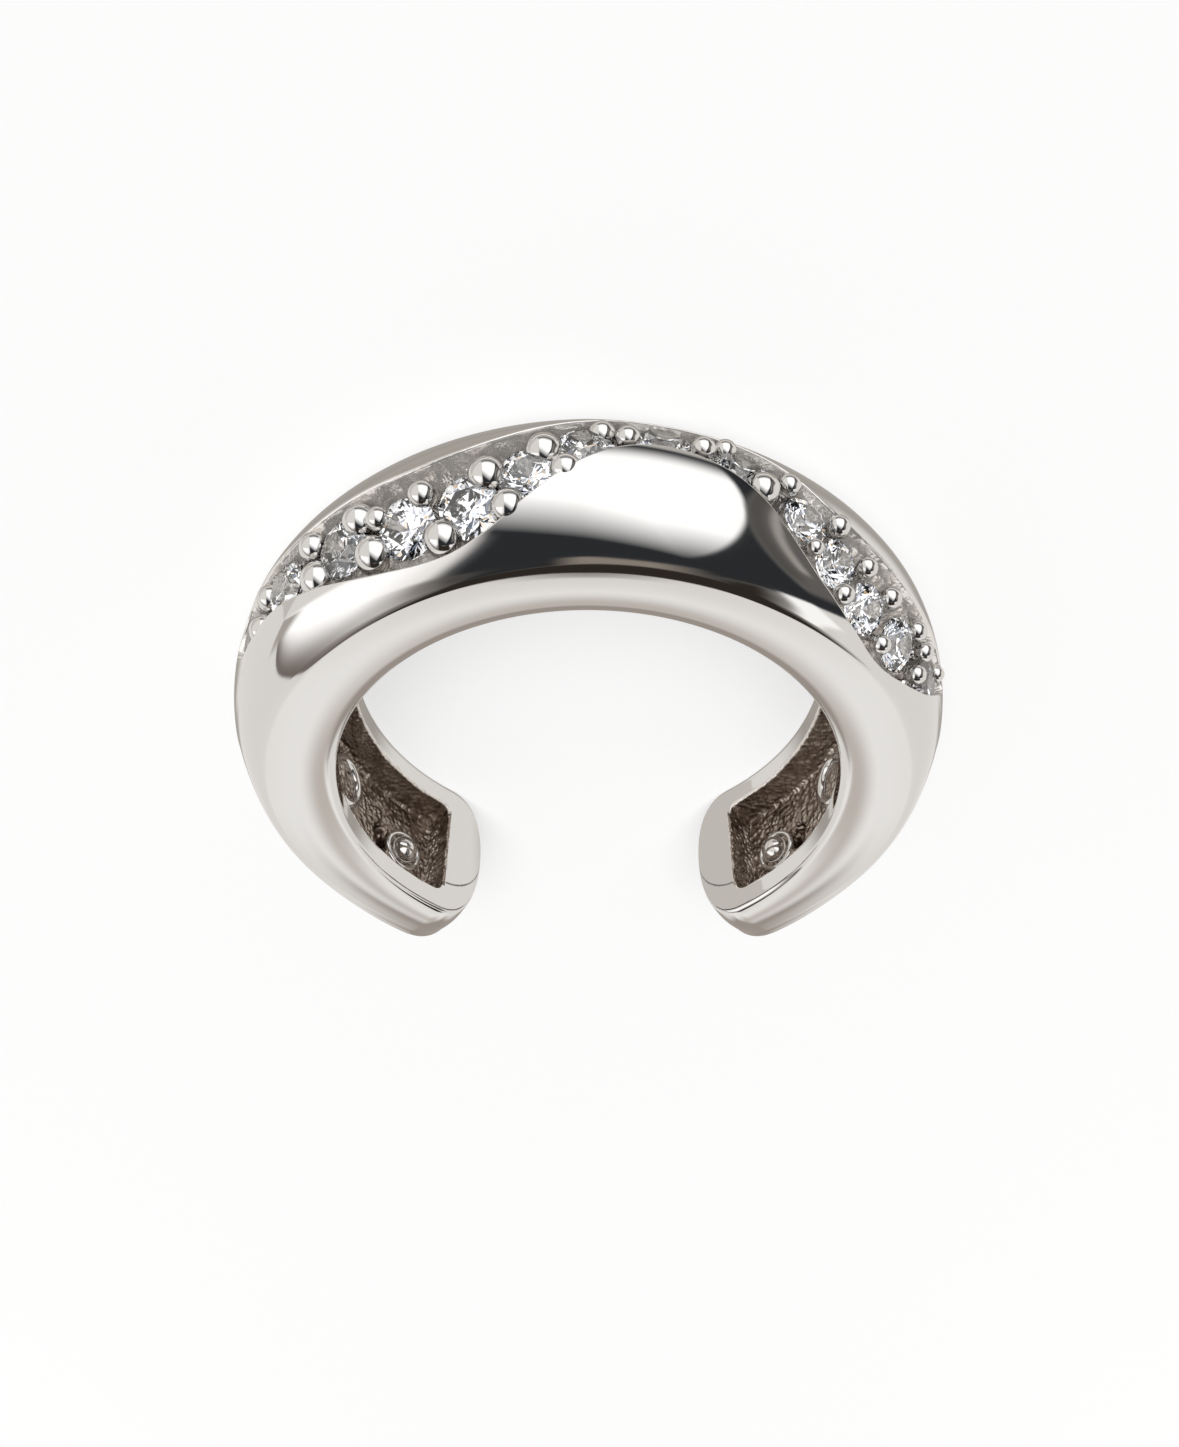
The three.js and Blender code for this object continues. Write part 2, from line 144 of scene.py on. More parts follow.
# Cast pocket in the hollow's wall
pocket = {
    "depth": 0.7,
    "rim": 0.48,
    "sideShare": 0.75,        # the most of half the width that it takes near the tips
    "endAngle": 139,
    "corner": 0.2,
    "rimEdge": 0.06,
    "floorFillet": 0.12,
    "cornerSteps": 6,
    "roughness": 0.025,
    "grit": 3.2,              # bumps per mm
    "gritShape": (1.0, 2.1, 3),    # how rough, how much finer each layer, how many layers
    "holeAngle": 125.5,
    "holeDiameter": 0.54,
    "holeDepth": 0.6,
    "holeSide": -0.05,
    "holeFrom": 0.9,          # share of the pocket's depth past which the hole goes down
    "holeSteepness": 4,       # its walls go down over a quarter of its radius
    "holeSteps": 12,
}

halfWidth = band["width"] / 2
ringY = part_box("cuff")[0].y / mm + band["tipReach"]
makeCamera()
print("camera placed")


def curveThrough(rows, column):
    places = [row[0] for row in rows]
    values = [row[column] for row in rows]
    slopes = [(values[i + 1] - values[i]) / (places[i + 1] - places[i]) for i in range(len(rows) - 1)]
    tangents = [slopes[0]] + [(a + b) / 2 for a, b in zip(slopes, slopes[1:])] + [slopes[-1]]

    def at(place):
        place = min(max(place, places[0]), places[-1])
        i = min(max(np.searchsorted(places, place) - 1, 0), len(slopes) - 1)
        step = places[i + 1] - places[i]
        t = (place - places[i]) / step
        return ((2 * t**3 - 3 * t**2 + 1) * values[i] + (t**3 - 2 * t**2 + t) * step * tangents[i]
                + (3 * t**2 - 2 * t**3) * values[i + 1] + (t**3 - t**2) * step * tangents[i + 1])
    return at


crestShare, shoulderShare, turnShare = (curveThrough(band["sections"], i) for i in (1, 2, 3))
frontEdge, backEdge = (curveThrough(channel["edges"], i) for i in (1, 2))


def tipShares(angle):
    way = (abs(angle) - band["tipAngle"] + band["tipRounding"]) / band["tipRounding"]
    way = min(max(way, 0), 1)
    square, blunt = band["tipSquareness"], band["tipBluntness"]
    return (1 - way**square) ** (1 / square), (1 - way**blunt) ** (1 / blunt)


def domeAt(angle):
    wall = band["topWall"] * tipShares(angle)[1]
    crest, shoulder = crestShare(abs(angle)) * wall, shoulderShare(abs(angle)) * wall
    turn = min(turnShare(abs(angle)), 0.9999)    # a whole half ellipse would end upright
    full = 1 - math.sqrt(1 - turn**2)

    def at(share):
        flat = math.sqrt(max(1 - (turn * share) ** 2, 0))
        return band["hollowRadius"] + crest - (crest - shoulder) * (1 - flat) / full, flat
    return at


def onRing(angle, radius, side):
    a = math.radians(angle)
    return Vector((radius * math.sin(a), radius * math.cos(a) + ringY, halfWidth + side)) * mm


def domeNormal(angle, side):
    step = 0.01
    dome = domeAt(angle)
    low, high = (onRing(angle, dome(s / halfWidth)[0], s) for s in (side - step, side + step))
    a = math.radians(angle)
    return (high - low).cross(Vector((math.cos(a), -math.sin(a), 0))).normalized()


def layStones():
    laid, angle = [], 0
    rows = stoneRow["stones"]
    for i, (size, height, space) in enumerate(rows):
        side, diameter = height * halfWidth, size * stoneRow["diameter"]
        if laid:
            before = laid[-1]
            way = (before["diameter"] + diameter) / 2 + rows[i - 1][2] * stoneRow["gap"]
            seat = band["hollowRadius"] + band["topWall"] - stoneRow["sink"]
            angle += math.degrees(math.sqrt(way**2 - (side - before["side"]) ** 2) / seat)
        laid.append({"angle": angle, "side": side, "diameter": diameter})
    turn = stoneRow["middleAngle"] - (laid[0]["angle"] + laid[-1]["angle"]) / 2
    for stone in laid:
        stone["angle"] += turn
    return laid


stones = layStones()
outerRadius = band["hollowRadius"] + band["topWall"]


def rowEnd(stone, sign):
    return stone["angle"] + sign * math.degrees((stone["diameter"] / 2 + channel["margin"]) / outerRadius)


channelStart, channelEnd = rowEnd(stones[0], -1), rowEnd(stones[-1], 1)


# Where the channel is open at an angle: its back edge, front edge and depth
def channelAt(angle):
    station = min(max((angle - channelStart) / (channelEnd - channelStart), 0), 1)
    back, front = backEdge(station), frontEdge(station)
    endWay = math.radians(min(angle - channelStart, channelEnd - angle)) * band["hollowRadius"]
    near = min(max(1 - endWay / (stoneRow["diameter"] / 2), 0), 1)
    middle, half = (front + back) / 2, (front - back) / 2 * math.sqrt(1 - near**2)
    return middle - half, middle + half, channel["depth"] if near < 1 else 0


def pocketAt(angle):
    beyond = math.radians(abs(angle) - pocket["endAngle"]) * band["hollowRadius"]
    width = halfWidth - pocket["rim"]
    intoCorner = min(max(beyond + pocket["corner"], 0), pocket["corner"]) / pocket["corner"]
    side = width - pocket["corner"] * (1 - math.sqrt(1 - intoCorner**2))
    edge = pocket["rimEdge"]
    if beyond <= 0:
        return side, pocket["depth"]
    side *= tipShares(angle)[0]
    return side, (edge - math.sqrt(edge**2 - (edge - beyond) ** 2) if beyond < edge else 0)


def fromTopToArm(values, angle, limits):
    share = min(max((abs(angle) - limits[0]) / (limits[1] - limits[0]), 0), 1)
    return values[0] + (values[1] - values[0]) * share**2 * (3 - 2 * share)


# The front face is slightly crowned: its inner and outer edges lie a little lower than its middle
def crowned(angle, radius, side, shoulder):
    crown = fromTopToArm(band["crown"], angle, band["crownTurn"])
    half = max((shoulder - band["hollowRadius"]) / 2, slack)
    way = (radius - band["hollowRadius"] - half) / half
    return side - crown * tipShares(angle)[1] * way**2 / (1 + (way / band["crownFade"]) ** 6)


# The straight and domed sides of the band's section, from the back face round to the hollow
def sectionRuns(angle, half, side):
    wall = tipShares(angle)[1]
    inner = band["hollowRadius"]
    dome = domeAt(angle)
    back, front, depth = channelAt(angle)
    deep = pocketAt(angle)[1]
    floor, shoulder = inner + deep, dome(1)[0]
    edge = min(fromTopToArm(band["innerEdge"], angle, band["edgeTurn"]), half / 2) * wall
    crease = band["creaseEdge"] * wall
    channelOpen, pocketOpen = (1 if depth else 0), (1 if deep else 0)
    rim, fillet = channel["rimEdge"] * channelOpen, channel["floorFillet"] * channelOpen
    wallCast, floorCast = channel["wallCast"] * channelOpen, channel["floorCast"] * channelOpen
    pastRim = deep > pocket["rimEdge"]
    pocketRim, pocketFillet = (pocket["rimEdge"], pocket["floorFillet"]) if pastRim else (0, 0)
    steps = band["steps"]

    def onDome(share, drop):
        height, flat = dome(share)
        return height - drop * flat, share * half

    def straight(a, b):
        return lambda t: (a[0] + (b[0] - a[0]) * t, a[1] + (b[1] - a[1]) * t)

    def over(a, b, drop):
        return lambda t: onDome(a + (b - a) * t, drop)

    # each one: its shape, its number of steps, the rounding at its start, how rough cast it is
    return [
        (straight((inner, -half), (shoulder, -half)), steps["face"], edge, 0),
        (over(-1, back, 0), steps["dome"], crease, 0),
        (straight(onDome(back, 0), onDome(back, depth)), steps["wall"], rim, wallCast),
        (over(back, front, depth), steps["channelFloor"], fillet, floorCast),
        (straight(onDome(front, depth), onDome(front, 0)), steps["wall"], fillet, wallCast),
        (over(front, 1, 0), steps["dome"], rim, 0),
        (straight((shoulder, half), (inner, half)), steps["face"], crease, 0),
        (straight((inner, half), (inner, side)), steps["land"], edge, 0),
        (straight((inner, side), (floor, side)), steps["wall"], pocketRim, pocketOpen),
        (straight((floor, side), (floor, -side)), steps["pocketFloor"], pocketFillet, pocketOpen),
        (straight((floor, -side), (inner, -side)), steps["wall"], pocketFillet, pocketOpen),
        (straight((inner, -side), (inner, -half)), steps["land"], pocketRim, 0),
    ]


# One closed section: those sides joined, with each corner rounded over its own distance
def bandSection(angle):
    half = halfWidth * tipShares(angle)[0]
    inner, shoulder = band["hollowRadius"], domeAt(angle)(1)[0]
    side, deep = pocketAt(angle)
    side = min(side, half * pocket["sideShare"])
    runs = sectionRuns(angle, half, side)
    count = len(runs)
    lengths = [math.dist(run[0](0), run[0](1)) for run in runs]
    cuts = [min(run[2], band["cornerShare"] * lengths[i], band["cornerShare"] * lengths[i - 1])
            for i, run in enumerate(runs)]
    points, cast = [], []
    for i, (shape, steps, _, rough) in enumerate(runs):
        length, last = lengths[i], lengths[i - 1]
        start = cuts[i] / length if length > 0 else 0
        stop = 1 - cuts[(i + 1) % count] / length if length > 0 else 1
        before = runs[i - 1][0]((1 - cuts[i] / last) if last > 0 else 1)
        corner, after = shape(0), shape(start)
        for k in range(band["cornerSteps"]):
            t = k / band["cornerSteps"]
            points.append(tuple((1 - t) ** 2 * before[j] + 2 * t * (1 - t) * corner[j] + t**2 * after[j]
                                for j in (0, 1)))
            cast.append(runs[i - 1][3] + (rough - runs[i - 1][3]) * t)
        for k in range(steps):
            points.append(shape(start + (stop - start) * (0.5 - 0.5 * math.cos(math.pi * k / steps))))
            cast.append(rough)

    def onFrontFace(radius, across):
        inPocket = deep and across < side + 2 * slack and radius < inner + deep + slack
        return across > half * band["crownFrom"] and radius > inner - slack / 10 and not inPocket

    points = [(radius, crowned(angle, radius, across, shoulder) if onFrontFace(radius, across) else across)
              for radius, across in points]
    return points, cast


def bandAngles():
    straight = band["tipAngle"] - band["tipRounding"]
    steps = math.ceil(straight / band["angleStep"])
    half = [straight * i / steps for i in range(steps + 1)]
    for i in range(1, band["tipSteps"] + 1):
        way = math.sin(math.pi / 2 * i / band["tipSteps"]) ** (2 / band["tipSquareness"])
        half.append(straight + band["tipRounding"] * way)
    mmTurn = math.degrees(1 / band["hollowRadius"])
    for k in range(pocket["cornerSteps"] + 1):
        way = k / pocket["cornerSteps"]
        edge = pocket["rimEdge"] * mmTurn * (1 - math.cos(math.pi / 2 * way))
        half.append(pocket["endAngle"] - pocket["corner"] * mmTurn * way)
        half.append(pocket["endAngle"] + edge + 2 * band["leastStep"])
    hole = pocket["holeDiameter"] * mmTurn
    holeSteps = pocket["holeSteps"]
    half += [pocket["holeAngle"] + hole * (k / holeSteps - 0.5) for k in range(holeSteps + 1)]
    angles = [-a for a in half if a > 0] + half
    endTurn = math.degrees(stoneRow["diameter"] / 2 / band["hollowRadius"])
    for k in range(channel["endSteps"] + 1):
        way = endTurn * (1 - math.cos(math.pi / 2 * k / channel["endSteps"]))
        angles += [channelStart + way, channelEnd - way]
    angles = sorted(angles)
    kept = [angles[0]]
    for angle in angles[1:]:
        if angle - kept[-1] > band["leastStep"]:
            kept.append(angle)
    return kept


# How far a point of raw casting moves outwards, in mm, and its share of casting, past 1 in the hole, where
# the silver material paints shade
def castAt(point, angle, radius, side, share):
    lift = pocket["roughness"] * share * noise.fractal(point * (pocket["grit"] / mm), *pocket["gritShape"])
    alongBand = math.radians(abs(angle) - pocket["holeAngle"]) * radius
    way = math.hypot(alongBand, side - pocket["holeSide"]) / (pocket["holeDiameter"] / 2)
    beyond = (radius - band["hollowRadius"]) / pocket["depth"]
    if share == 1 and way < 1 and pocket["holeFrom"] < beyond < 1 + slack / pocket["depth"]:
        sunk = min(1, (1 - way) * pocket["holeSteepness"])
        lift += pocket["holeDepth"] * sunk
        # the share past 1 marks the hole for its painted shade
        share += sunk
    return lift, share


def makeBand():
    angles = bandAngles()
    position, cast = [], []
    for angle in angles:
        points, shares = bandSection(angle)
        a = math.radians(angle)
        outward = Vector((math.sin(a), math.cos(a), 0))
        for (radius, side), share in zip(points, shares):
            point = onRing(angle, radius, side)
            if share > 0:
                lift, share = castAt(point, angle, radius, side, share)
                point += outward * (lift * mm)
            position.append(point)
            cast.append(share)
    count = len(points)
    faces = []
    for i in range(len(angles) - 1):
        for j in range(count):
            a, b = i * count + j, i * count + (j + 1) % count
            faces.append((a, b, b + count, a + count))
    mesh = bpy.data.meshes.new("cuff_band")
    mesh.from_pydata(position, [], faces)
    attribute = mesh.attributes.new("cast", "FLOAT", "POINT")
    attribute.data.foreach_set("value", np.array(cast, np.float32))
    bm = bmesh.new()
    bm.from_mesh(mesh)
    bmesh.ops.remove_doubles(bm, verts=bm.verts, dist=band["mergeWithin"] * mm)
    bmesh.ops.dissolve_degenerate(bm, edges=bm.edges, dist=band["mergeWithin"] * mm)
    bmesh.ops.recalc_face_normals(bm, faces=bm.faces)
    print("open edges", sum(1 for e in bm.edges if not e.is_manifold), "faces", len(bm.faces))
    bm.to_mesh(mesh)
    bm.free()
    mesh.polygons.foreach_set("use_smooth", np.ones(len(mesh.polygons), bool))
    obj = bpy.data.objects.new("cuff_band", mesh)
    scene.collection.objects.link(obj)
    return obj


bandPiece = makeBand()
print("band made,", len(bandPiece.data.polygons), "faces")


# One node: its inputs, each a value or a socket to link, and its settings
def node(tree, kind, inputs=None, **settings):
    made = tree.nodes.new(kind)
    for key, value in settings.items():
        setattr(made, key, value)
    for key, value in (inputs or {}).items():
        if isinstance(value, bpy.types.NodeSocket):
            tree.links.new(value, made.inputs[key])
        else:
            made.inputs[key].default_value = value
    return made


def mathsIn(tree, operation, *values, clamp=False):
    inputs = dict(enumerate(values))
    return node(tree, "ShaderNodeMath", inputs, operation=operation, use_clamp=clamp).outputs[0]


def mixedIn(tree, share, a, b, kind="RGBA"):
    return node(tree, "ShaderNodeMix", {"Factor": share, "A": a, "B": b}, data_type=kind).outputs["Result"]


# Polished silver. The cast attribute turns it to satin at a half and, at 1, to a dull brown-grey casting;
# past 1, in the hole, it paints shade there with the dark colour
silver = {
    "colour": (0.72, 0.705, 0.69, 1),
    "gloss": 0.035,
    "smear": 0.03,                 # roughness that faint smears add
    "smearScale": 900,
    "waveScale": 260,              # waves that a hand polish leaves
    "waveHeight": 0.004,           # mm, as are the shift and the height of the casting
    "waveStrength": 0.6,
    "satin": 2.3,                  # how strongly satin places lose their shine
    "satinColour": (1.0, 0.945, 0.88, 1),
    "castColour": (0.88, 0.80, 0.72, 1),
    # darker tone of the casting between its grains, and the painted shade in the hole
    "castDarkAndHoleShade": (0.30, 0.24, 0.20, 1),
    "castRoughness": 0.3,
    "castScale": 8500,             # grains of the casting per metre
    "castShift": 0.12,
    "castHeight": 0.035,
    "castStrength": 0.9,
    "cellTops": (0.75, 0.1),       # distance from a grain's middle where its top starts, and is full
    "palePatches": (0.35, 0.65),   # cloud values where a pale patch starts, and is full
}


def silverMaterial():
    material = bpy.data.materials.new("polished_silver")
    material.use_nodes = True
    tree = material.node_tree
    shader = tree.nodes["Principled BSDF"]
    maths, mixed = partial(mathsIn, tree), partial(mixedIn, tree)
    place = node(tree, "ShaderNodeTexCoord").outputs["Object"]
    cast = node(tree, "ShaderNodeAttribute", attribute_name="cast").outputs["Fac"]

    def cloud(scale, detail):
        return node(tree, "ShaderNodeTexNoise", {"Vector": place, "Scale": scale, "Detail": detail}).outputs

    def between(value, limits):
        return node(tree, "ShaderNodeMapRange", {
            "Value": value, "From Min": limits[0], "From Max": limits[1]}).outputs["Result"]

    # Raw casting: small rounded grains, paler in patches, and painted shade in the hole, where the dark
    # colour stands in for the hole's shadow
    uneven = cloud(silver["castScale"] / 3, 2)
    shifted = node(tree, "ShaderNodeVectorMath", {
        0: uneven["Color"], 1: (silver["castShift"] * mm,) * 3, 2: place}, operation="MULTIPLY_ADD")
    cells = node(tree, "ShaderNodeTexVoronoi", {"Vector": shifted.outputs[0], "Scale": silver["castScale"]})
    tops = between(cells.outputs["Distance"], silver["cellTops"])
    inHole = maths("SUBTRACT", cast, 1, clamp=True)
    pale = maths("MULTIPLY", tops, between(uneven["Fac"], silver["palePatches"]))
    # painted shade: in the hole the casting colour goes fully to the dark one
    castColour = mixed(maths("SUBTRACT", pale, inHole, clamp=True), silver["castDarkAndHoleShade"], silver["castColour"])

    # Satin, between polished and raw, shines less and shows its own pale colour
    satin = maths("MULTIPLY", cast, maths("SUBTRACT", 1, cast), clamp=True)
    metallic = maths("MULTIPLY_ADD", satin, -silver["satin"], 1)
    paleness = maths("MULTIPLY", satin, silver["satin"], clamp=True)
    colour = mixed(paleness, mixed(cast, silver["colour"], castColour), silver["satinColour"])

    polish = node(tree, "ShaderNodeMapRange", {
        "Value": cloud(silver["smearScale"], 5)["Fac"],
        "To Min": silver["gloss"], "To Max": silver["gloss"] + silver["smear"]}).outputs["Result"]
    roughness = mixed(cast, polish, silver["castRoughness"], kind="FLOAT")

    waves = node(tree, "ShaderNodeBump", {
        "Height": cloud(silver["waveScale"], 1)["Fac"],
        "Strength": silver["waveStrength"], "Distance": silver["waveHeight"] * mm})
    level = maths("MULTIPLY_ADD", inHole, -2, cast, clamp=True)     # the hole is smoother
    bumps = node(tree, "ShaderNodeBump", {
        "Height": maths("MULTIPLY", tops, level), "Normal": waves.outputs["Normal"],
        "Strength": silver["castStrength"], "Distance": silver["castHeight"] * mm})
    for socket, value in (("Base Color", colour), ("Metallic", metallic), ("Roughness", roughness),
                          ("Normal", bumps.outputs["Normal"])):
        tree.links.new(value, shader.inputs[socket])
    return material


silverFinish = silverMaterial()
bandPiece.data.materials.append(silverFinish)


# Grains: a ball on a tapered post, one for each point, standing out of the channel floor
grains = {
    "ballDiameter": 0.55,
    "rise": 0.06,
    "postTop": 0.36,
    "postFoot": 0.5,
    "postLength": 0.85,       # from the ball's middle into the channel floor
    "wobble": 0.02,
    "wobbleScale": 2600,
    "ballSegments": 32,
    "ballRings": 20,
    "postSides": 28,
    "postRings": 3,
    # after which stone, along and across as shares of a stone, size
    "spots": [
        (0, 0.25, -0.15, 0.85), (0, -0.1, 0.3, 1.0), (1, 0.06, -0.4, 0.95), (1, 0.15, 0.3, 1.15),
        (2, -0.3, -0.4, 1.05), (2, 0.17, -0.24, 0.75), (2, -0.03, 0.28, 1.2),
        (3, -0.18, -0.44, 0.85), (3, 0.02, 0.3, 1.2), (4, -0.04, -0.37, 1.12), (4, 0.05, 0.32, 1.08),
        (5, -0.03, -0.3, 1.1), (5, -0.03, 0.32, 0.9), (6, -0.3, -0.24, 0.78), (6, 0.05, 0.0, 0.72),
        (7, -0.03, -0.04, 0.75), (7, 0.33, -0.32, 0.68),
        (8, -0.2, 0.18, 1.0), (8, 0.1, -0.34, 0.7), (9, -0.05, 0.34, 0.5), (9, 0.0, -0.5, 0.7),
        (10, -0.1, 0.26, 0.65), (10, 0.0, -0.42, 0.65), (11, -0.15, -0.44, 0.7),
        (11, 0.08, 0.24, 0.62), (12, -0.35, -0.44, 0.65), (12, 0.02, 0.18, 0.62),
        (12, 0.08, -0.28, 0.65), (12, 0.95, -0.36, 0.55),
    ],
}

grainSizes = ("ballDiameter", "postTop", "postFoot", "postLength", "wobble")    # the tree's named inputs


# Each grain's middle, the way it points, its size, and its post's length as a share
def grainPoints():
    for after, along, across, size in grains["spots"]:
        before, following = stones[after], stones[after + 1]
        roundWay = math.radians(following["angle"] - before["angle"]) * outerRadius
        sideWay = following["side"] - before["side"]
        length = math.hypot(roundWay, sideWay)
        along, across = along * stoneRow["diameter"], across * stoneRow["diameter"]
        angle = ((before["angle"] + following["angle"]) / 2
                 + math.degrees((along * roundWay - across * sideWay) / length / outerRadius))
        side = (before["side"] + following["side"]) / 2 + (along * sideWay + across * roundWay) / length
        normal = domeNormal(angle, side)
        radius = grains["ballDiameter"] * size / 2
        height, depthShare = domeAt(angle)(side / halfWidth)
        middle = onRing(angle, height, side) + normal * ((grains["rise"] - radius) * mm)
        yield middle, normal, size, depthShare


def grainTree(material):
    tree = bpy.data.node_groups.new("grains_on_posts", "GeometryNodeTree")
    face = tree.interface
    face.new_socket("Geometry", in_out="INPUT", socket_type="NodeSocketGeometry")
    sockets = {}
    for name in grainSizes:
        socket = face.new_socket(name, in_out="INPUT", socket_type="NodeSocketFloat")
        socket.default_value = grains[name] * mm
        sockets[name] = socket.identifier
    face.new_socket("Geometry", in_out="OUTPUT", socket_type="NodeSocketGeometry")
    maths = partial(mathsIn, tree)
    given = node(tree, "NodeGroupInput").outputs

    def stored(name, kind="FLOAT"):
        found = node(tree, "GeometryNodeInputNamedAttribute", {"Name": name}, data_type=kind)
        return found.outputs["Attribute"]

    ball = node(tree, "GeometryNodeMeshUVSphere", {
        "Segments": grains["ballSegments"], "Rings": grains["ballRings"],
        "Radius": maths("MULTIPLY", given["ballDiameter"], 0.5)})
    post = node(tree, "GeometryNodeMeshCone", {
        "Vertices": grains["postSides"], "Side Segments": grains["postRings"],
        "Radius Bottom": maths("MULTIPLY", given["postFoot"], 0.5),
        "Radius Top": maths("MULTIPLY", given["postTop"], 0.5),
        "Depth": given["postLength"]})
    down = node(tree, "ShaderNodeCombineXYZ", {"Z": maths("MULTIPLY", given["postLength"], -1)})
    sunk = node(tree, "GeometryNodeTransform", {
        "Geometry": post.outputs["Mesh"], "Translation": down.outputs[0]})
    turned = node(tree, "FunctionNodeAlignRotationToVector", {
        "Vector": stored("outward", "FLOAT_VECTOR")}, axis="Z")
    size = stored("size")
    postSize = node(tree, "ShaderNodeCombineXYZ", {"X": size, "Y": size, "Z": stored("reach")})
    both = node(tree, "GeometryNodeJoinGeometry")
    for shape, scale in ((ball.outputs["Mesh"], size), (sunk.outputs["Geometry"], postSize.outputs[0])):
        spread = node(tree, "GeometryNodeInstanceOnPoints", {
            "Points": given["Geometry"], "Instance": shape,
            "Rotation": turned.outputs["Rotation"], "Scale": scale})
        tree.links.new(spread.outputs["Instances"], both.inputs["Geometry"])
    real = node(tree, "GeometryNodeRealizeInstances", {"Geometry": both.outputs["Geometry"]})

    place = node(tree, "GeometryNodeInputPosition").outputs[0]
    uneven = node(tree, "ShaderNodeTexNoise", {"Vector": place, "Scale": grains["wobbleScale"], "Detail": 1})
    centred = node(tree, "ShaderNodeVectorMath", {
        0: uneven.outputs["Color"], 1: (0.5, 0.5, 0.5)}, operation="SUBTRACT")
    scaled = node(tree, "ShaderNodeVectorMath", {
        0: centred.outputs[0], "Scale": given["wobble"]}, operation="SCALE")
    moved = node(tree, "GeometryNodeSetPosition", {
        "Geometry": real.outputs["Geometry"], "Offset": scaled.outputs[0]})
    smooth = node(tree, "GeometryNodeSetShadeSmooth", {"Geometry": moved.outputs["Geometry"]})
    finish = node(tree, "GeometryNodeSetMaterial", {
        "Geometry": smooth.outputs["Geometry"], "Material": material})
    node(tree, "NodeGroupOutput", {"Geometry": finish.outputs["Geometry"]})
    return tree, sockets


def makeGrains(material):
    middles, outward, sizes, reaches = zip(*grainPoints())
    mesh = bpy.data.meshes.new("grain_points")
    mesh.from_pydata(middles, [], [])
    arrows = mesh.attributes.new("outward", "FLOAT_VECTOR", "POINT")
    arrows.data.foreach_set("vector", np.array(outward, np.float32).ravel())
    for name, values in (("size", sizes), ("reach", reaches)):
        mesh.attributes.new(name, "FLOAT", "POINT").data.foreach_set("value", np.array(values, np.float32))
    carrier = bpy.data.objects.new("grain_points", mesh)
    scene.collection.objects.link(carrier)
    tree, sockets = grainTree(material)
    modifier = carrier.modifiers.new("grains", "NODES")
    modifier.node_group = tree
    for name in grainSizes:
        modifier[sockets[name]] = grains[name] * mm
    depsgraph = bpy.context.evaluated_depsgraph_get()
    made = bpy.data.meshes.new_from_object(carrier.evaluated_get(depsgraph))
    made.name = "cuff_grains"
    bpy.data.objects.remove(carrier)
    obj = bpy.data.objects.new("cuff_grains", made)
    scene.collection.objects.link(obj)
    return obj


grainPiece = makeGrains(silverFinish)
print("grains made,", len(grainPiece.data.polygons), "faces")


# Small cast features on the pocket floor of each arm: a ball in a ring, and the rim of a cup
bosses = {
    "angle": 132,
    "ballDiameter": 0.6,
    "ringDiameter": 0.8,
    "wire": 0.12,
    "cupAngle": 110,
    "cupDiameter": 0.95,
    "cupSide": -0.45,
    "cupWire": 0.24,
    "cast": 0.03,             # nearly polished
    "segments": 40,
    "wireSides": 16,
    "ballRings": 20,
    "poleGap": 0.02,          # share of a ring left open at each pole, then filled
}


def makeBosses(material):
    position, faces = [], []

    def grid(shape, around, along, closed):
        start = len(position)
        for i in range(around):
            for j in range(along):
                position.append(shape(2 * math.pi * i / around, j))
        for i in range(around):
            for j in range(along if closed else along - 1):
                a, b = i * along + j, i * along + (j + 1) % along
                c, d = ((i + 1) % around) * along + (j + 1) % along, ((i + 1) % around) * along + j
                faces.append(tuple(start + k for k in (a, b, c, d)))

    def feature(angle, side, diameter, wire, ball):
        a = math.radians(angle)
        up = Vector((-math.sin(a), -math.cos(a), 0))
        along, across = Vector((math.cos(a), -math.sin(a), 0)), Vector((0, 0, 1))
        centre = onRing(angle, band["hollowRadius"] + pocket["depth"], side)

        def at(radius, turn, lift):
            spoke = along * math.cos(turn) + across * math.sin(turn)
            return centre + spoke * (radius * mm) + up * (lift * mm)

        def onWire(turn, j):
            around = 2 * math.pi * j / bosses["wireSides"]
            return at(diameter / 2 + wire / 2 * math.cos(around), turn, wire / 2 * math.sin(around))

        def onBall(turn, j):
            down = math.pi * (j + bosses["poleGap"]) / (bosses["ballRings"] + 2 * bosses["poleGap"])
            return at(ball / 2 * math.sin(down), turn, ball / 2 * math.cos(down))

        grid(onWire, bosses["segments"], bosses["wireSides"], True)
        if ball:
            grid(onBall, bosses["segments"], bosses["ballRings"] + 1, False)

    for sign in (-1, 1):
        feature(sign * bosses["angle"], 0, bosses["ringDiameter"], bosses["wire"], bosses["ballDiameter"])
        feature(sign * bosses["cupAngle"], bosses["cupSide"], bosses["cupDiameter"], bosses["cupWire"], 0)
    mesh = bpy.data.meshes.new("pocket_bosses")
    mesh.from_pydata(position, [], faces)
    bm = bmesh.new()
    bm.from_mesh(mesh)
    bmesh.ops.holes_fill(bm, edges=bm.edges, sides=0)
    bmesh.ops.recalc_face_normals(bm, faces=bm.faces)
    bm.to_mesh(mesh)
    bm.free()
    mesh.polygons.foreach_set("use_smooth", np.ones(len(mesh.polygons), bool))
    attribute = mesh.attributes.new("cast", "FLOAT", "POINT")
    attribute.data.foreach_set("value", np.full(len(mesh.vertices), bosses["cast"], np.float32))
    mesh.materials.append(material)
    obj = bpy.data.objects.new("pocket_bosses", mesh)
    scene.collection.objects.link(obj)
    return obj


bossPiece = makeBosses(silverFinish)
print("pocket features made,", len(bossPiece.data.polygons), "faces")


# Clear faceted stones
clear = {"Base Color": (0.97, 0.985, 1.0, 1), "IOR": 2.15, "Roughness": 0.0, "Transmission Weight": 1}


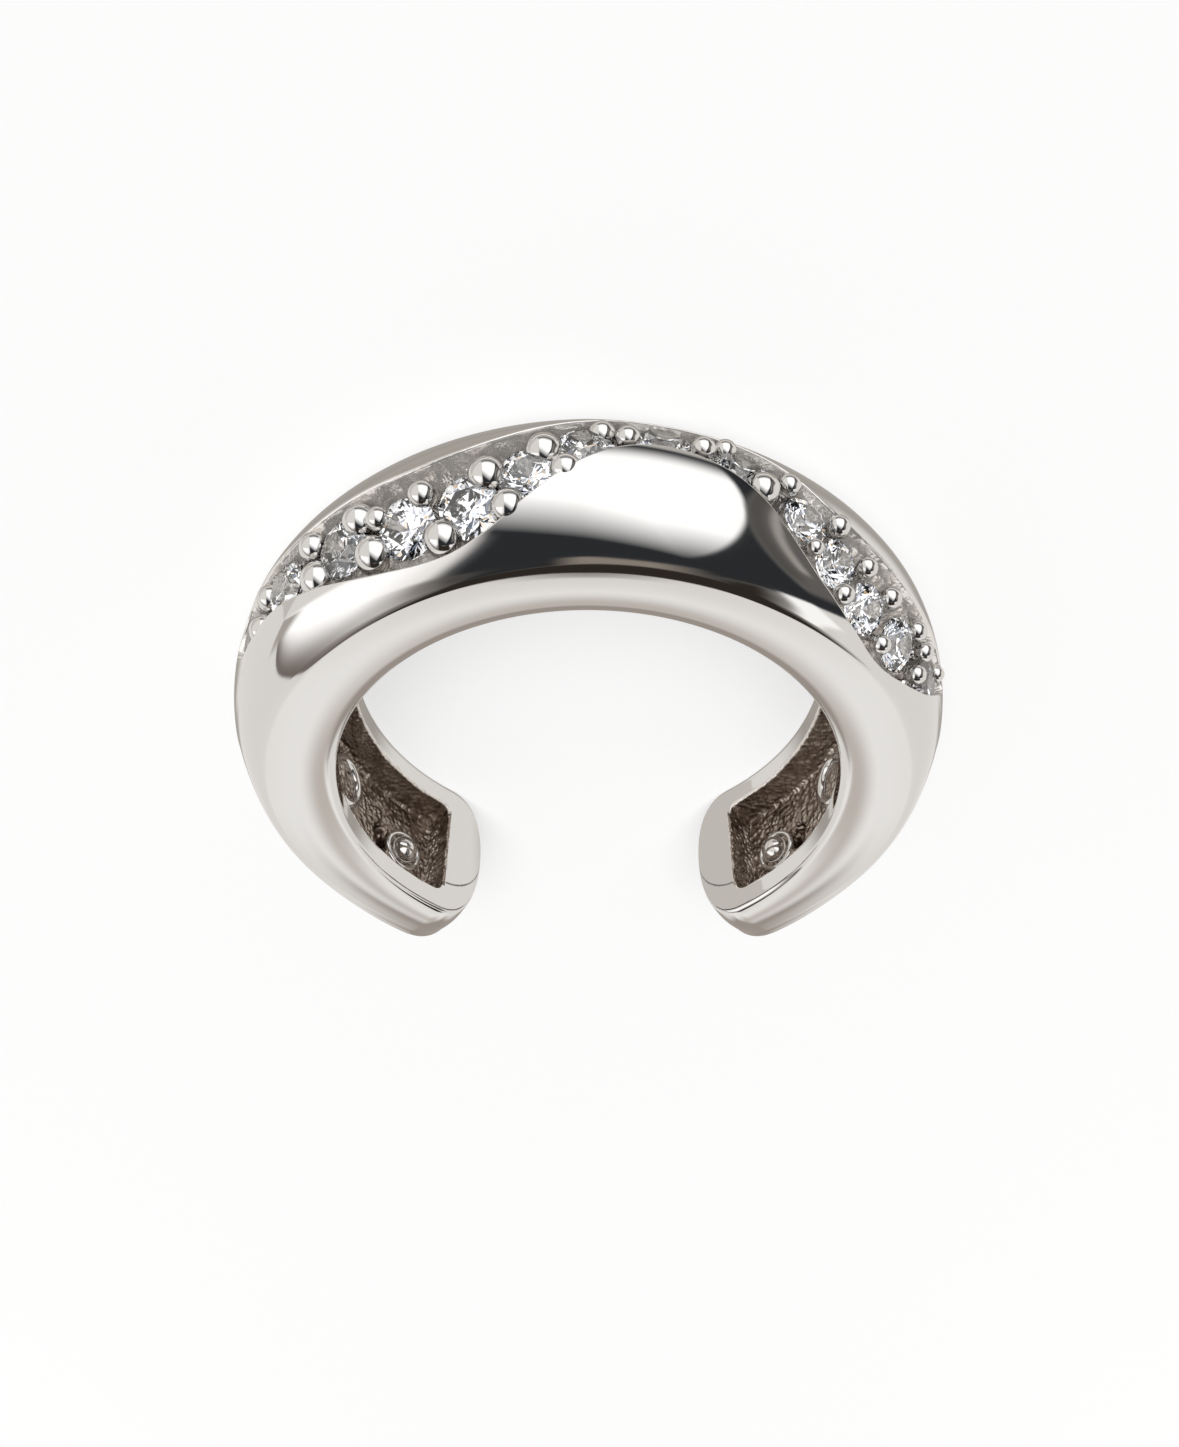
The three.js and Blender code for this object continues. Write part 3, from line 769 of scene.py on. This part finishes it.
def stoneMaterial():
    material = bpy.data.materials.new("clear_stone")
    material.use_nodes = True
    for socket, value in clear.items():
        material.node_tree.nodes["Principled BSDF"].inputs[socket].default_value = value
    return material


stoneFinish = stoneMaterial()
for name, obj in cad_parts.items():
    if name.startswith("stone_"):
        obj.data.materials.clear()
        obj.data.materials.append(stoneFinish)
print("stones finished")


# Studio: a pale floor in even light, and around it what the polished silver mirrors: a large soft box
# beyond the top of the ring, a dark room over it, a bright wall on the left, pale cards on the near side
studio = {
    "floorColour": (0.40, 0.40, 0.40, 1),
    "floorGlow": 0.58,        # a lit white table: shadows on it stay faint
    "floorRoughness": 0.6,
    "floorShine": 0.2,
    "floorSize": 1000,        # mm
    "sunStrength": 2.6,
    "sunSpread": 40,          # degrees
    "sunPlace": (-4, 80, 100),
    "surround": (0.92, 0.90, 0.87),
    "diffuseShare": 0.5,      # how much of it lights matt surfaces
    "backdrop": (1.0, 1.0, 1.0),
    # side low and high, turn over the top low and high (0 at +Y, 90 overhead), softness of the
    # four edges, brightness; later ones lie over earlier ones
    "patches": [
        ((-40, 40), (-90, -50), (8, 8, 1, 8), (0.48, 0.45, 0.41)),
        ((-38, 38), (216, 272), (16, 16, 8, 1), (0.44, 0.415, 0.38)),
        ((-90, -35), (-90, -40), (1, 8, 1, 8), (0.70, 0.67, 0.63)),
        ((-40, 40), (-72, -64), (8, 8, 3, 3), (1.2, 1.18, 1.15)),
        ((-30, 30), (126, 152), (24, 24, 12, 14), (1.06, 1.055, 1.04)),
        ((-7, 7), (134, 240), (12, 12, 10, 1), (0.66, 0.61, 0.57)),
        ((-16, 16), (148, 240), (10, 10, 12, 1), (0.42, 0.375, 0.34)),
        ((-24, 60), (-48, 92), (6, 12, 8, 3), (0.03, 0.033, 0.037)),
        "soft box",
        ((42, 64), (-48, 80), (3, 14, 8, 8), (0.15, 0.142, 0.135)),
        ((43, 47), (-48, 70), (2, 3, 8, 10), (0.11, 0.105, 0.10)),
        ((49, 52), (-20, 60), (3, 3, 10, 8), (0.42, 0.40, 0.37)),
        ((-90, -22), (90, 121), (1, 8, 4, 2), (0.20, 0.17, 0.15)),
        ((-90, -30), (56, 104), (1, 24, 10, 34), (1.45, 1.45, 1.45)),
        ((-95, -79), (60, 150), (1, 8, 10, 10), (0.50, 0.47, 0.43)),
        ((-24, 30), (91, 120), (12, 12, 3, 2), (0.035, 0.028, 0.023)),
        ((-3, 14), (89, 91.5), (6, 12, 1.5, 1.5), (0.33, 0.29, 0.25)),
        ((30, 38), (91, 104), (3, 3, 3, 3), (1.3, 1.3, 1.3)),
    ],
    "softBox": {
        "light": (1.45, 1.45, 1.45),
        "fadeOver": (45, 82),     # full light below the first, none above the second
        "slant": 0.8,             # it fades sooner on the left of slantFrom
        "slantFrom": 16,
        "right": 42,              # its round right edge: widest here, at this height, and its roundness
        "rightAt": 8,
        "rightRound": 14.5,
        "edge": 2.4,
        "reach": ((-24, 60), (-34, 100), (6, 1, 24, 1)),    # its outer limits, as in the patches
    },
    "sparkle": {
        "scale": 3.2,
        "stops": [
            (0.40, (0.015, 0.016, 0.022, 1)), (0.46, (0.20, 0.23, 0.30, 1)), (0.50, (1.1, 1.12, 1.2, 1)),
            (0.60, (2.2, 2.15, 2.05, 1)), (0.66, (0.60, 0.36, 0.14, 1)), (0.70, (1.8, 1.75, 1.7, 1)),
        ],
    },
}


def makeWorld():
    world = bpy.data.worlds.new("studio")
    scene.world = world
    world.use_nodes = True
    tree = world.node_tree
    maths = partial(mathsIn, tree)
    around = node(tree, "ShaderNodeTexCoord").outputs["Generated"]
    x, y, z = node(tree, "ShaderNodeSeparateXYZ", {0: around}).outputs
    sideways = maths("DEGREES", maths("ARCSINE", x))
    overhead = maths("WRAP", maths("DEGREES", maths("ARCTAN2", z, y)), 270, -90)
    rays = node(tree, "ShaderNodeLightPath").outputs

    def past(value, limit, softness):
        return node(tree, "ShaderNodeMapRange", {
            "Value": value, "From Min": limit - softness / 2, "From Max": limit + softness / 2,
        }, interpolation_type="SMOOTHSTEP").outputs["Result"]

    def blended(share, a, b):
        a, b = ((*value[:3], 1) if isinstance(value, tuple) else value for value in (a, b))
        return mixedIn(tree, share, a, b)

    def within(sides, heights, softness):
        mask = past(sideways, sides[0], softness[0])
        mask = maths("MULTIPLY", mask, maths("SUBTRACT", 1, past(sideways, sides[1], softness[1])))
        mask = maths("MULTIPLY", mask, past(overhead, heights[0], softness[2]))
        return maths("MULTIPLY", mask, maths("SUBTRACT", 1, past(overhead, heights[1], softness[3])))

    def softBox(light):
        box = studio["softBox"]
        leftward = maths("MAXIMUM", maths("SUBTRACT", box["slantFrom"], sideways), 0)
        slanted = maths("ADD", overhead, maths("MULTIPLY", box["slant"], leftward))
        full, gone = box["fadeOver"]
        fade = maths("DIVIDE", maths("SUBTRACT", gone, slanted), gone - full)
        fade = maths("MINIMUM", maths("MAXIMUM", fade, 0), 1)
        fromMiddle = maths("DIVIDE", maths("SUBTRACT", overhead, box["rightAt"]), box["rightRound"])
        curve = maths("POWER", maths("ABSOLUTE", fromMiddle), 2)
        beyond = maths("SUBTRACT", maths("ADD", sideways, curve), box["right"])
        mask = maths("MULTIPLY", maths("SUBTRACT", 1, past(beyond, 0, box["edge"])), fade)
        return blended(maths("MULTIPLY", mask, within(*box["reach"])), light, box["light"])

    light = studio["surround"]
    for patch in studio["patches"]:
        light = softBox(light) if patch == "soft box" else blended(within(*patch[:3]), light, patch[3])

    # What the stones gather is broken up into small bright and dark places
    sparkle = studio["sparkle"]
    broken = node(tree, "ShaderNodeTexNoise", {"Vector": around, "Scale": sparkle["scale"], "Detail": 1})
    gathered = node(tree, "ShaderNodeValToRGB", {"Fac": broken.outputs["Fac"]})
    stops = gathered.color_ramp.elements
    while len(stops) < len(sparkle["stops"]):
        stops.new(0.5)
    for stop, (at, colour) in zip(stops, sparkle["stops"]):
        stop.position, stop.color = at, colour
    light = blended(rays["Is Transmission Ray"], light, gathered.outputs["Color"])
    light = blended(rays["Is Camera Ray"], light, studio["backdrop"])
    dimming = maths("MULTIPLY", rays["Is Diffuse Ray"], 1 - studio["diffuseShare"])
    background = tree.nodes["Background"].inputs
    tree.links.new(light, background["Color"])
    tree.links.new(maths("SUBTRACT", 1, dimming), background["Strength"])


def makeFloor():
    far = studio["floorSize"] * mm / 2
    corners = [(-far, -far, 0), (far, -far, 0), (far, far, 0), (-far, far, 0)]
    mesh = bpy.data.meshes.new("floor")
    mesh.from_pydata(corners, [], [(0, 1, 2, 3)])
    material = bpy.data.materials.new("pale_floor")
    material.use_nodes = True
    shader = material.node_tree.nodes["Principled BSDF"]
    for socket, value in (("Base Color", studio["floorColour"]), ("Roughness", studio["floorRoughness"]),
                          ("Specular IOR Level", studio["floorShine"]), ("Emission Color", (1, 1, 1, 1)),
                          ("Emission Strength", studio["floorGlow"])):
        shader.inputs[socket].default_value = value
    mesh.materials.append(material)
    floor = bpy.data.objects.new("floor", mesh)
    scene.collection.objects.link(floor)
    floor.visible_glossy = False     # the silver mirrors the studio, not the bare floor


def makeSun():
    data = bpy.data.lights.new("even_light", "SUN")
    data.energy, data.angle = studio["sunStrength"], math.radians(studio["sunSpread"])
    obj = bpy.data.objects.new("even_light", data)
    obj.location = Vector(studio["sunPlace"]) * mm
    obj.rotation_euler = (-obj.location).to_track_quat("-Z", "Y").to_euler()
    obj.visible_glossy = obj.visible_transmission = False
    scene.collection.objects.link(obj)


makeWorld()
makeFloor()
makeSun()
scene.view_settings.view_transform = "Standard"
print("studio ready")


for piece in (bandPiece, grainPiece, bossPiece):
    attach(piece, "root")
    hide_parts("cuff")
